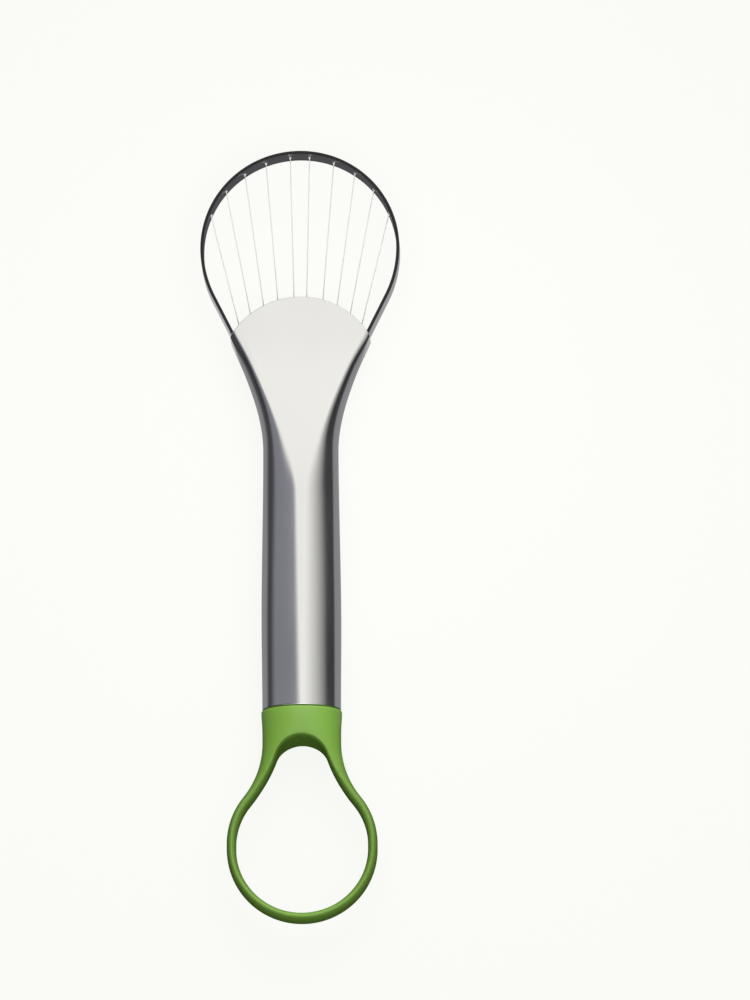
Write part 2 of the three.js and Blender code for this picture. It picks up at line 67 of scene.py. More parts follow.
bl_info = {
    "name": "Wire slicer looks",
    "version": (1, 0, 0),
    "blender": (4, 5, 0),
    "location": "View3D > Sidebar > Slicer",
    "description": "Builds the steel, wires and moulded loop of a wire slicer, and its studio",
    "category": "Object",
}


# Properties

def length(name, description, default):
    return FloatProperty(name=name, description=description, default=default, unit="LENGTH", precision=5)


def angle(name, description, degrees):
    return FloatProperty(name=name, description=description, default=math.radians(degrees), unit="ROTATION")


def share(name, description, default):
    return FloatProperty(name=name, description=description, default=default, min=0.0, max=1.0,
                         subtype="FACTOR")


def colour(name, description, default):
    return FloatVectorProperty(name=name, description=description, default=default, min=0.0, max=1.0,
                               subtype="COLOR", size=3)


class SlicerHoop(bpy.types.PropertyGroup):
    radius: length("Hoop radius", "Outer radius of the hoop's upper half", HOOP_HIGH.x)
    flank_extra: length("Flank extra", "Added to the radius below the hoop's widest point", 0.004)
    thickness: length("Strip thickness", "Thickness of the steel strip", 0.001)
    depth: length("Strip depth", "Depth of the strip, front to back", HOOP_HIGH.z - HOOP_LOW.z)
    leg_angle: angle("Leg angle", "Lean of each straight leg from the length", 26.4)
    bend_setback: length("Bend setback", "From a leg's corner to where its bend starts", 0.0012)
    arch_setback: length("Arch setback", "From the lip to the arch of the strip behind it", 0.0006)
    edge_round: length("Edge round", "Rounding of the strip's cut edges", 0.00015)


class SlicerTube(bpy.types.PropertyGroup):
    wall: length("Wall", "Thickness of the tube's wall", 0.0005)
    seat_gap: length("Seat gap", "Gap between pieces that seat on each other", 0.0003)
    half_depth: length("Half depth", "Half the depth of the handle", (TUBE_HIGH.z - TUBE_LOW.z) / 2)
    end_half_depth: length("End half depth", "Half the depth at the moulded end", 0.0101)
    mouth_room: length("Mouth room", "Room in front of the strip in the mouth, and behind it", 0.0008)
    mouth_corner_width: length("Mouth corner width", "Width of the mouth's rounded corners", 0.0023)
    mouth_corner_depth: length("Mouth corner depth", "Depth of the mouth's rounded corners", 0.0013)
    round_length: length("Round length", "From the lip's corners to where the sides are fully round", 0.012)
    lip_drop: length("Lip drop", "From the hoop's centre to the middle of the lip", 0.016)
    lip_rise: length("Lip rise", "From the corners of the lip to its middle", 0.01175)
    flare_angle: angle("Flare angle", "Lean of the mouth's sides from the length", 22)
    neck_from_lip: length("Neck from lip", "From the middle of the lip to the narrow neck", 0.0481)
    neck_half_width: length("Neck half width", "Half the width at the neck", 0.0117)
    flat_from_lip: length("Flat from lip", "From the middle of the lip to the end of the mouth's flat", 0.063)
    flat_bow: FloatProperty(name="Flat bow", description="Inward bow of the flat's edges, 1 for straight",
                            default=1.42)
    barrel_from_lip: length("Barrel from lip", "From the middle of the lip to the widest part", 0.103)
    barrel_half_width: length("Barrel half width", "Half the width at the widest part", 0.01238)
    end_half_width: length("End half width", "Half the width at the moulded end", 0.0122)
    belly_flat: length("Belly flat", "Width of the narrow flat on the front and back", 0.0024)
    end_flat: length("End flat", "Width of that flat at the moulded end", 0.0002)
    side_flat: length("Side flat", "Depth of the flat on the sides", 0.001)
    edge_round: length("Edge round", "Rounding of the lip's edges", 0.0002)


class SlicerWires(bpy.types.PropertyGroup):
    count: IntProperty(name="Wires", description="Number of wires", default=10, min=2)
    diameter: length("Wire diameter", "Diameter of a wire", 0.0003)
    hoop_margin: length("Hoop margin", "Across the middle, from the hoop's inner face to a wire", 0.00511)
    lip_margin: length("Lip margin", "Across, from the lip's corner to the first wire", 0.0024)
    middle_share: share("Middle share", "Gap between the two middle wires, against the others", 0.84)
    bead_radius: length("Bead radius", "Radius of the brazed bead round a wire", 0.00045)
    bead_length: length("Bead length", "Length of the brazed bead along a wire", 0.0007)
    bead_sink: length("Bead sink", "How far the bead's full width reaches into the strip", 0.0002)
    bead_rise: length("Bead rise", "How far the bead's full width stands out of the strip", 0.0001)
    anchor_share: share("Anchor share", "How deep a wire ends in the strip, as a share of its thickness", 0.7)
    tail: length("Tail", "Length of wire past the lip", 0.006)


class SlicerLoop(bpy.types.PropertyGroup):
    ring_radius: length("Ring radius", "Outer radius of the loop's ring", 0.02337)
    ring_straight: length("Ring straight", "Straight stretch on each side of the ring", 0.00165)
    ring_width: length("Ring width", "Width of the strand round the ring", 0.00295)
    opening_straight: length("Opening straight", "Straight stretch on each side of the opening", 0.00113)
    ring_depth: length("Ring depth", "Depth of the strand, front to back", 0.009)
    ring_side_flat: length("Ring side flat", "Depth of the flat on the sides of the strand", 0.0012)
    collar_overhang: length("Collar overhang", "Collar's lip beyond the tube", 0.00045)
    collar_lip_length: length("Collar lip length", "Length over which the collar's lip flares", 0.008)
    thinning_start: length("Thinning start", "From the collar to where the moulding starts to thin", 0.001)
    shoulder_length: length("Shoulder length", "From the collar to the start of the flanks", 0.00985)
    arch_wall: length("Arch wall", "From the collar to the top of the opening", 0.0092)
    arch_radius: length("Arch radius", "Radius at the top of the opening", 0.0083)
    flank_radius: length("Inner flank radius", "Radius of the opening's flanks", 0.048)
    arch_fillet: length("Arch fillet", "Width of the rounding at the top of the opening", 0.0006)
    arch_fillet_depth: length("Arch fillet depth", "Depth of that rounding", 0.0025)
    rim_round: length("Rim round", "Rounding of the collar's rim", 0.0005)
    spigot_length: length("Spigot length", "Length of the plug inside the tube", 0.014)
    spigot_root: length("Spigot root", "From the collar into the moulding, where the plug starts", 0.003)
    spigot_chamfer: length("Spigot chamfer", "Chamfer on the plug's end", 0.0008)


class SlicerFinish(bpy.types.PropertyGroup):
    handle_steel: colour("Handle steel", "Satin stainless steel of the handle", (0.69, 0.69, 0.685))
    strip_steel: colour("Strip steel", "Stainless strip of the hoop", (0.48, 0.48, 0.49))
    # The strip's cut edges are drawn near black.
    strip_edge: colour("Strip edge", "Dull cut edge of the strip", (0.018, 0.019, 0.019))
    wire_steel: colour("Wire steel", "Drawn wire", (0.8, 0.8, 0.795))
    sleeve_steel: colour("Sleeve steel", "Crimped sleeves behind the arch", (0.55, 0.55, 0.56))
    green: colour("Green", "Moulded plastic", (0.195, 0.392, 0.052))
    handle_roughness: share("Handle roughness", "Roughness of the handle's steel", 0.17)
    green_roughness: share("Green roughness", "Roughness of the plastic", 0.42)


class SlicerStage(bpy.types.PropertyGroup):
    floor_colour: colour("Floor colour", "Pale floor", (0.985, 0.993, 0.955))
    floor_glow: share("Floor glow", "Light of its own that the eye and metal see in the floor", 0.908)
    floor_shade: share("Floor shade", "Share of the floor's colour that takes light and shadow", 0.07)
    sky_strength: FloatProperty(name="Sky strength", description="Brightness of the overhead softbox",
                                default=1.23)
    key_power: FloatProperty(name="Key power", description="Power of the fill over the tool", default=0.26,
                             unit="POWER")
    front_power: FloatProperty(name="Front power", description="Power of the lamp beyond the loop",
                               default=1.3, unit="POWER")
    camera_distance: length("Camera distance", "From the tool's middle to the camera", 8.0)
    camera_tilt: angle("Camera tilt", "Lean of the camera towards the loop", 13.0)
    camera_side: angle("Camera side", "Lean of the camera towards +X", 1.4)
    camera_roll: angle("Camera roll", "Turn of the picture", -0.227)
    frame_height: length("Frame height", "Height of the picture at the tool", 0.31055)
    offset_right: length("Offset right", "How far the tool lies left of the picture's middle", 0.02293)
    offset_up: length("Offset up", "How far the tool lies below the picture's middle", 0.01158)


# Shared places

TOP_Y = HOOP_HIGH.y
AXIS_Z = (HOOP_LOW.z + HOOP_HIGH.z) / 2
TUBE_END = TOP_Y - TUBE_LOW.y
LOOP_BOTTOM = TOP_Y - LOOP_LOW.y


def place(x, station, z):
    """A point from its width, its station and its height above the tool's axis."""
    return Vector((x, TOP_Y - station, AXIS_Z + z))


def mix(a, b, t):
    return a + (b - a) * t


def ramp(value, start, end):
    t = min(1.0, max(0.0, (value - start) / (end - start)))
    return t * t * (3 - 2 * t)


def meets_circle(start, heading, centre, radius):
    """How far along its heading a line first meets a circle."""
    gap = start - centre
    half = gap.dot(heading)
    return -half - math.sqrt(half ** 2 - gap.length_squared + radius ** 2)


# Mesh helpers

# How far a rounded edge is cut back halfway round, as a share of its radius.
ROUND_MIDDLE = 1 - math.sqrt(0.5)


def ring_edges(bm, ring):
    return [bm.edges.get((ring[i - 1], ring[i])) for i in range(len(ring))]


def loft(bm, sections, closed=False):
    """Grows a skin from section to section. A closed loft joins the last section to the first."""
    first = bmesh.ops.create_circle(bm, segments=len(sections[0]), radius=1.0)["verts"]
    ring = list(first)
    for vert, point in zip(ring, sections[0]):
        vert.co = point
    for section in sections[1:]:
        grown = bmesh.ops.extrude_edge_only(bm, edges=ring_edges(bm, ring))["geom"]
        new = {item for item in grown if isinstance(item, bmesh.types.BMVert)}
        ring = [next(e.other_vert(v) for e in v.link_edges if e.other_vert(v) in new) for v in ring]
        for vert, point in zip(ring, section):
            vert.co = point
    if closed:
        bmesh.ops.bridge_loops(bm, edges=ring_edges(bm, first) + ring_edges(bm, ring))
    else:
        bmesh.ops.contextual_create(bm, geom=list(first))
        bmesh.ops.contextual_create(bm, geom=ring)


def finish_piece(name, bm, materials, nodes):
    """Makes the piece's object, smooth and facing outwards, and hands it to the frame."""
    bmesh.ops.recalc_face_normals(bm, faces=bm.faces)
    for face in bm.faces:
        face.smooth = True
    mesh = bpy.data.meshes.new(name)
    bm.to_mesh(mesh)
    bm.free()
    piece = bpy.data.objects.new(name, mesh)
    bpy.context.scene.collection.objects.link(piece)
    for material in materials:
        mesh.materials.append(material)
    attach(piece, "root")
    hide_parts(*nodes)


# Material helpers

class NodeNet:
    """Adds nodes to a tree and links them. What a node takes in is a socket or a constant."""

    NOISE_LOW = 0.3
    NOISE_HIGH = 0.7

    def __init__(self, tree):
        self.nodes = tree.nodes
        self.links = tree.links

    def feed(self, value, socket):
        if isinstance(value, bpy.types.NodeSocket):
            self.links.new(value, socket)
        else:
            socket.default_value = value

    def parts(self, space):
        """The X, Y and Z of a texture coordinate."""
        split = self.nodes.new("ShaderNodeSeparateXYZ")
        self.links.new(self.nodes.new("ShaderNodeTexCoord").outputs[space], split.inputs["Vector"])
        return split.outputs

    def noise(self, scale, detail):
        """Noise on the piece's own coordinates, stretched by its scale along X, Y and Z, per metre."""
        coordinates = self.nodes.new("ShaderNodeTexCoord")
        mapping = self.nodes.new("ShaderNodeMapping")
        mapping.inputs["Scale"].default_value = scale
        noise = self.nodes.new("ShaderNodeTexNoise")
        noise.inputs["Scale"].default_value = 1.0
        noise.inputs["Detail"].default_value = detail
        self.links.new(coordinates.outputs["Object"], mapping.inputs["Vector"])
        self.links.new(mapping.outputs["Vector"], noise.inputs["Vector"])
        return noise.outputs["Fac"]

    def step(self, value, start, end, curve="SMOOTHSTEP", low=0.0, high=1.0):
        """Goes from low at start to high at end, and is level beyond both."""
        step = self.nodes.new("ShaderNodeMapRange")
        step.interpolation_type = curve
        limits = {"From Min": start, "From Max": end, "To Min": low, "To Max": high}
        for name, limit in limits.items():
            step.inputs[name].default_value = limit
        self.links.new(value, step.inputs["Value"])
        return step.outputs["Result"]

    def spread(self, source, low, high):
        """Maps a noise to a range."""
        return self.step(source, self.NOISE_LOW, self.NOISE_HIGH, "LINEAR", low, high)

    def bump(self, source, strength, distance):
        bump = self.nodes.new("ShaderNodeBump")
        bump.inputs["Strength"].default_value = strength
        bump.inputs["Distance"].default_value = distance
        self.links.new(source, bump.inputs["Height"])
        return bump.outputs["Normal"]

    def tint(self, source, first, second):
        """Blends two colours by a value."""
        blend = self.nodes.new("ShaderNodeMix")
        blend.data_type = "RGBA"
        for name, value in (("A", first), ("B", second)):
            opaque = value if isinstance(value, bpy.types.NodeSocket) else (*value, 1.0)
            self.feed(opaque, blend.inputs[name])
        self.links.new(source, blend.inputs["Factor"])
        return blend.outputs["Result"]

    def shades(self, source, base, darkest, lightest):
        """The base colour, between two shares of its brightness."""
        return self.tint(source, scaled(base, darkest), scaled(base, lightest))

    def calc(self, operation, first, second=0.0):
        node = self.nodes.new("ShaderNodeMath")
        node.operation = operation
        for socket, value in zip(node.inputs, (first, second)):
            self.feed(value, socket)
        return node.outputs["Value"]


def new_material(name):
    material = bpy.data.materials.new(name)
    material.use_nodes = True
    net = NodeNet(material.node_tree)
    return material, net, net.nodes["Principled BSDF"].inputs


def scaled(colour_value, factor):
    return tuple(min(1.0, channel * factor) for channel in colour_value)


def satin_steel(name, base, roughness, grain, metallic=1.0):
    """Stainless steel with a fine grain. grain is the noise scale along X, Y and Z, per metre."""
    material, net, surface = new_material(name)
    surface["Metallic"].default_value = metallic
    fine = net.noise(grain, detail=3.0)
    broad = net.noise((60.0, 25.0, 60.0), detail=2.0)
    net.feed(net.spread(fine, low=roughness * 0.94, high=roughness * 1.07), surface["Roughness"])
    net.feed(net.shades(broad, base, darkest=0.97, lightest=1.03), surface["Base Color"])
    net.feed(net.bump(fine, strength=0.015, distance=0.00004), surface["Normal"])
    return material


def cut_edge(base):
    """The strip's cut edges, coloured near black."""
    material, net, surface = new_material("strip_cut_edge")
    surface["Metallic"].default_value = 0.6
    speckle = net.noise((2500.0, 2500.0, 2500.0), detail=4.0)
    net.feed(net.spread(speckle, low=0.5, high=0.75), surface["Roughness"])
    net.feed(net.shades(speckle, base, darkest=0.7, lightest=1.5), surface["Base Color"])
    return material


# Y ranges of the painted shade on the ring's flanks: where it comes in, and where it fades out at the ring's
# foot.
FLANK_SHADE_FADE_Y = (-0.066, -0.084)
FOOT_SHADE_FADE_Y = (-0.125, -0.1)


def moulded_green(base, roughness):
    """Satin moulded plastic with a faint grain, and painted shade that darkens the ring's flanks."""
    material, net, surface = new_material("green_moulding")
    cloud = net.noise((90.0, 90.0, 90.0), detail=2.0)
    grain = net.noise((2600.0, 2600.0, 2600.0), detail=2.0)
    along = net.parts("Object")["Y"]
    # Painted shade: the ring's flanks are drawn darker than the collar, as if less light reached them.
    flanks = net.calc("MULTIPLY", net.step(along, *FLANK_SHADE_FADE_Y), net.step(along, *FOOT_SHADE_FADE_Y))
    collar_green = net.shades(cloud, base, darkest=0.96, lightest=1.04)
    shaded_flank_green = net.shades(cloud, base, darkest=0.72, lightest=0.78)
    net.feed(net.tint(flanks, collar_green, shaded_flank_green), surface["Base Color"])
    net.feed(net.spread(grain, low=roughness * 0.92, high=roughness * 1.1), surface["Roughness"])
    net.feed(net.bump(grain, strength=0.12, distance=0.00002), surface["Normal"])
    return material


# Handle tube

QUARTER_STEPS = 14
FLAT_STEPS = 16
SETTLE_STEPS = 16
FAN_RINGS = 34
HANDLE_RINGS = 40
INNER_RINGS = 16


class TubeShape:
    """Places of the head and sections of the tube. Widths and depths are halves, and places are stations."""

    def __init__(self):
        hoop = bpy.context.scene.slicer_hoop
        tube = bpy.context.scene.slicer_tube
        self.tube = tube
        self.lip = hoop.radius + tube.lip_drop
        self.rim = self.lip + tube.lip_rise
        self.neck = self.lip + tube.neck_from_lip
        self.flat_end = self.lip + tube.flat_from_lip
        self.barrel = self.lip + tube.barrel_from_lip
        self.flank_radius = hoop.radius + hoop.flank_extra
        leg_top = hoop.radius + self.flank_radius * math.sin(hoop.leg_angle)
        leg_width = self.flank_radius * math.cos(hoop.leg_angle) - hoop.flank_extra
        self.rim_width = leg_width - (self.rim - leg_top) * math.tan(hoop.leg_angle)
        self.lip_radius = (self.rim_width ** 2 + tube.lip_rise ** 2) / (2 * tube.lip_rise)
        self.lip_centre = Vector((0.0, self.lip + self.lip_radius))
        self.mouth_width = self.rim_width + tube.seat_gap / math.cos(tube.flare_angle) + tube.wall
        self.mouth_depth = hoop.depth / 2 + tube.mouth_room + tube.wall
        self.marks = self.section_marks()

    def section_marks(self):
        """Marks round a section: quarter, turn on its round, and share of the flat that follows it."""
        marks = []
        for quarter in range(4):
            marks += [(quarter, step / QUARTER_STEPS, 0.0) for step in range(QUARTER_STEPS + 1)]
            if quarter in (0, 2):
                marks += [(quarter, 1.0, step / FLAT_STEPS) for step in range(1, FLAT_STEPS)]
        return marks

    def half_width(self, station):
        tube = self.tube
        if station < self.rim:
            return self.mouth_width + (self.rim - station) * math.tan(tube.flare_angle)
        if station < self.neck:
            run = self.neck - self.rim
            t = (station - self.rim) / run
            start = (2 * t ** 3 - 3 * t ** 2 + 1) * self.mouth_width
            slope = (t ** 3 - 2 * t ** 2 + t) * run * -math.tan(tube.flare_angle)
            return start + slope + (3 * t ** 2 - 2 * t ** 3) * tube.neck_half_width
        if station < self.barrel:
            return mix(tube.neck_half_width, tube.barrel_half_width, ramp(station, self.neck, self.barrel))
        return mix(tube.barrel_half_width, tube.end_half_width, ramp(station, self.barrel, TUBE_END))

    def half_depth(self, station):
        tube = self.tube
        if station < self.barrel:
            return mix(self.mouth_depth, tube.half_depth, ramp(station, self.rim, self.flat_end))
        return mix(tube.half_depth, tube.end_half_depth, ramp(station, self.barrel, TUBE_END))

    def flat_width(self, station):
        """The flat face, which narrows from the mouth to the belly's flat."""
        tube = self.tube
        if station < self.rim:
            return self.half_width(station) - tube.mouth_corner_width
        if station < self.flat_end:
            left = (self.flat_end - station) / (self.flat_end - self.rim)
            return mix(tube.belly_flat / 2, self.mouth_width - tube.mouth_corner_width, left ** tube.flat_bow)
        past = (station - self.flat_end) / (TUBE_END - self.flat_end)
        return mix(tube.belly_flat, tube.end_flat, past) / 2

    def point(self, station, inset, quarter, turn, across):
        """A point of the section: on a quarter's round, or across the flat after it."""
        tube = self.tube
        depth = self.half_depth(station)
        flat_x = self.flat_width(station)
        corner_width = self.half_width(station) - flat_x - inset
        rounding = ramp(station, self.rim, self.rim + tube.round_length)
        corner_depth = mix(tube.mouth_corner_depth, depth - tube.side_flat / 2, rounding) - inset
        flat_z = depth - inset - corner_depth
        side_x = 1 if quarter in (0, 3) else -1
        side_z = 1 if quarter < 2 else -1
        if across:
            return side_x * flat_x * (1 - 2 * across), side_z * (depth - inset)
        bend = (quarter + turn) * math.pi / 2
        x = side_x * flat_x + corner_width * math.cos(bend)
        return x, side_z * flat_z + corner_depth * math.sin(bend)

    def ring(self, inset, lag, station):
        """A section set in from the outside, some way behind the lip, at a station from the neck.

        Its line slides from the lip's arc to a straight cut at the neck.
        """
        ring = []
        for mark in self.marks:
            here = self.neck + station
            if station <= 0:
                t = 1 + station / self.tube.neck_from_lip
                here = mix(self.rim, self.neck, t)
                for _ in range(SETTLE_STEPS):
                    x = self.point(here, inset, *mark)[0]
                    on_lip = self.lip_centre.y - math.sqrt(self.lip_radius ** 2 - x ** 2)
                    here = (here + mix(on_lip, self.neck, t) + lag) / 2
            x, z = self.point(here, inset, *mark)
            ring.append(place(x, here, z))
        return ring


class SLICER_OT_handle_tube(bpy.types.Operator):
    """Lofts the steel tube, from the flat mouth with its arc lip to the oval handle"""

    bl_idname = "slicer.handle_tube"
    bl_label = "Handle tube"

    def execute(self, context):
        tube = context.scene.slicer_tube
        finish = context.scene.slicer_finish
        shape = TubeShape()
        fan = tube.neck_from_lip
        handle = TUBE_END - shape.neck
        edge = tube.edge_round
        soft = edge * ROUND_MIDDLE
        wall = tube.wall
        # Outside, round the moulded end, inside and round the lip.
        rings = [(0.0, edge, -fan), (0.0, 2 * edge, -fan)]
        rings += [(0.0, 0.0, -fan * (1 - step / FAN_RINGS)) for step in range(1, FAN_RINGS + 1)]
        rings += [(0.0, 0.0, handle * step / HANDLE_RINGS) for step in range(1, HANDLE_RINGS)]
        rings += [(0.0, 0.0, handle - 2 * edge), (0.0, 0.0, handle - edge)]
        rings += [(soft, 0.0, handle - soft), (edge, 0.0, handle), (wall - edge, 0.0, handle)]
        rings += [(wall - soft, 0.0, handle - soft), (wall, 0.0, handle - edge)]
        inner = range(1, INNER_RINGS + 1)
        rings += [(wall, 0.0, handle * (1 - step / INNER_RINGS)) for step in inner]
        rings += [(wall, 0.0, -fan * step / INNER_RINGS) for step in inner[:-1]]
        rings += [(wall, edge, -fan), (wall - soft, soft, -fan), (wall - edge, 0.0, -fan)]
        rings += [(edge, 0.0, -fan), (soft, soft, -fan)]
        bm = bmesh.new()
        loft(bm, [shape.ring(*ring) for ring in rings], closed=True)
        steel = satin_steel("handle_steel", finish.handle_steel, finish.handle_roughness,
                            grain=(2200.0, 60.0, 2200.0))
        finish_piece("handle_shell", bm, [steel], ["handle_tube"])
        return {"FINISHED"}


# Hoop strip

HOOP_STEPS = 60
FLANK_STEPS = 24
LEG_STEPS = 8
BEND_STEPS = 8
ARCH_STEPS = 32
CUT_FACE_NORMAL = 0.5


def arc(centre, radius, first, last, steps):
    """Points of an arc, as (x, station). Its angles are from straight up, towards +X."""
    angles = [mix(first, last, step / steps) for step in range(steps + 1)]
    return [centre + Vector((math.sin(a), -math.cos(a))) * radius for a in angles]


def strip_line(inset, bend):
    """One closed line of the bent strip, as (x, station) points, from the top of the hoop to the right."""
    hoop = bpy.context.scene.slicer_hoop
    head = TubeShape()
    centre = head.lip_centre
    arch_radius = head.lip_radius - hoop.arch_setback - hoop.thickness + inset
    lean = hoop.leg_angle
    quarter_turn = math.pi / 2
    hoop_centre = Vector((0.0, hoop.radius))
    upper = arc(hoop_centre, hoop.radius - inset, 0.0, quarter_turn, HOOP_STEPS)
    flank_centre = hoop_centre - Vector((hoop.flank_extra, 0.0))
    flank = arc(flank_centre, head.flank_radius - inset, quarter_turn, quarter_turn + lean, FLANK_STEPS)
    down = Vector((-math.sin(lean), math.cos(lean)))
    corner = flank[-1] + down * meets_circle(flank[-1], down, centre, arch_radius)
    leg_end = corner - down * bend
    leg = [flank[-1].lerp(leg_end, step / LEG_STEPS) for step in range(1, LEG_STEPS)]
    arch_angle = math.atan2(corner.x, centre.y - corner.y) - bend / arch_radius
    arch = arc(centre, arch_radius, arch_angle, 0.0, ARCH_STEPS)
    turn = []
    for step in range(BEND_STEPS):
        t = step / BEND_STEPS
        turn.append(leg_end.lerp(corner, t).lerp(corner.lerp(arch[0], t), t))
    right = upper + flank[1:] + leg + turn + arch
    return right + [Vector((-p.x, p.y)) for p in reversed(right[1:-1])]


class SLICER_OT_hoop_strip(bpy.types.Operator):
    """Sweeps the steel strip round the hoop, down its legs and across behind the lip"""

    bl_idname = "slicer.hoop_strip"
    bl_label = "Hoop strip"

    def execute(self, context):
        hoop = context.scene.slicer_hoop
        finish = context.scene.slicer_finish
        soft = hoop.edge_round
        half = hoop.depth / 2
        cut = soft * ROUND_MIDDLE
        corner = [(soft, half), (cut, half - cut), (0.0, half - soft)]
        flank = corner + [(d, -z) for d, z in reversed(corner)]
        heights = [z for _, z in flank] + [z for _, z in reversed(flank)]
        outer = strip_line(0.0, hoop.bend_setback)
        inner = strip_line(hoop.thickness, hoop.bend_setback / 2)
        sections = []
        for out, in_ in zip(outer, inner):
            across = (in_ - out).normalized()
            points = [out + across * d for d, _ in flank] + [in_ - across * d for d, _ in reversed(flank)]
            sections.append([place(p.x, p.y, z) for p, z in zip(points, heights)])
        bm = bmesh.new()
        loft(bm, sections, closed=True)
        bm.normal_update()
        for face in bm.faces:
            face.material_index = 1 if abs(face.normal.z) > CUT_FACE_NORMAL else 0
        steel = satin_steel("strip_steel", finish.strip_steel, roughness=0.3, grain=(400.0, 400.0, 5000.0))
        finish_piece("hoop_strip", bm, [steel, cut_edge(finish.strip_edge)], ["hoop_frame"])
        return {"FINISHED"}


# Wires

WIRE_SIDES = 14
BEAD_STEPS = 4
MERGE_DISTANCE = 1e-7


class SLICER_OT_wires(bpy.types.Operator):
    """Strings the wires from the hoop into the mouth, each with a brazed bead at the hoop"""

    bl_idname = "slicer.wires"
    bl_label = "Wires"

    def execute(self, context):
        hoop = context.scene.slicer_hoop
        wires = context.scene.slicer_wires
        head = TubeShape()
        inside = hoop.radius - hoop.thickness
        hoop_centre = Vector((0.0, hoop.radius))
        first = Vector((inside - wires.hoop_margin, hoop.radius))
        lip_x = head.rim_width - wires.lip_margin
        lip_station = head.lip_centre.y - math.sqrt(head.lip_radius ** 2 - lip_x ** 2)
        to_focus = first.x * (lip_station - hoop.radius) / (first.x - lip_x)
        steel = satin_steel("wire_steel", context.scene.slicer_finish.wire_steel, roughness=0.4,
                            grain=(6000.0, 200.0, 6000.0), metallic=0.25)
        outermost = (wires.count - 1) / 2
        for index in range(wires.count):
            lot = index - outermost
            if abs(lot) < 1:
                lot *= wires.middle_share
            middle = Vector((first.x * lot / outermost, hoop.radius))
            heading = Vector((-middle.x, to_focus)).normalized()
            start = middle + heading * meets_circle(middle, heading, hoop_centre, inside)
            end = middle + heading * meets_circle(middle, heading, head.lip_centre, head.lip_radius)
            node = f"wire_{index + 1:02d}"
            self.string(place(*start, 0.0), place(*end, 0.0), wires, hoop, node, steel)
        return {"FINISHED"}

    def string(self, start, end, wires, hoop, node, steel):
        run = end - start
        radius = wires.diameter / 2
        stop = run.length + wires.tail
        bead = wires.bead_radius
        anchor = hoop.thickness * wires.anchor_share
        profile = [(0.0, -anchor), (radius, -anchor), (bead, -wires.bead_sink), (bead, wires.bead_rise)]
        for step in range(1, BEAD_STEPS + 1):
            t = step / BEAD_STEPS
            profile.append((mix(bead, radius, math.sqrt(t)), wires.bead_length * t))
        profile += [(radius, stop), (0.0, stop)]
        bm = bmesh.new()
        verts = [bm.verts.new((r, 0.0, z)) for r, z in profile]
        edges = [bm.edges.new(pair) for pair in zip(verts, verts[1:])]
        bmesh.ops.spin(bm, geom=verts + edges, axis=(0, 0, 1), cent=(0, 0, 0), steps=WIRE_SIDES,
                       angle=2 * math.pi, use_merge=True)
        bmesh.ops.remove_doubles(bm, verts=bm.verts, dist=MERGE_DISTANCE)
        turn = run.to_track_quat("Z", "Y").to_matrix().to_4x4()
        bmesh.ops.transform(bm, matrix=Matrix.Translation(start) @ turn, verts=bm.verts)
        finish_piece(f"{node}_strung", bm, [steel], [node])


# Loop end

FILLET_STEPS = 8
OUTER_STEPS = 16
HALVINGS = 40
LONGEST_RIB = 3
RIB_COUNTS = {"crown": 18, "shoulder": 14, "flank": 24, "ring top": 16, "ring bottom": 36}


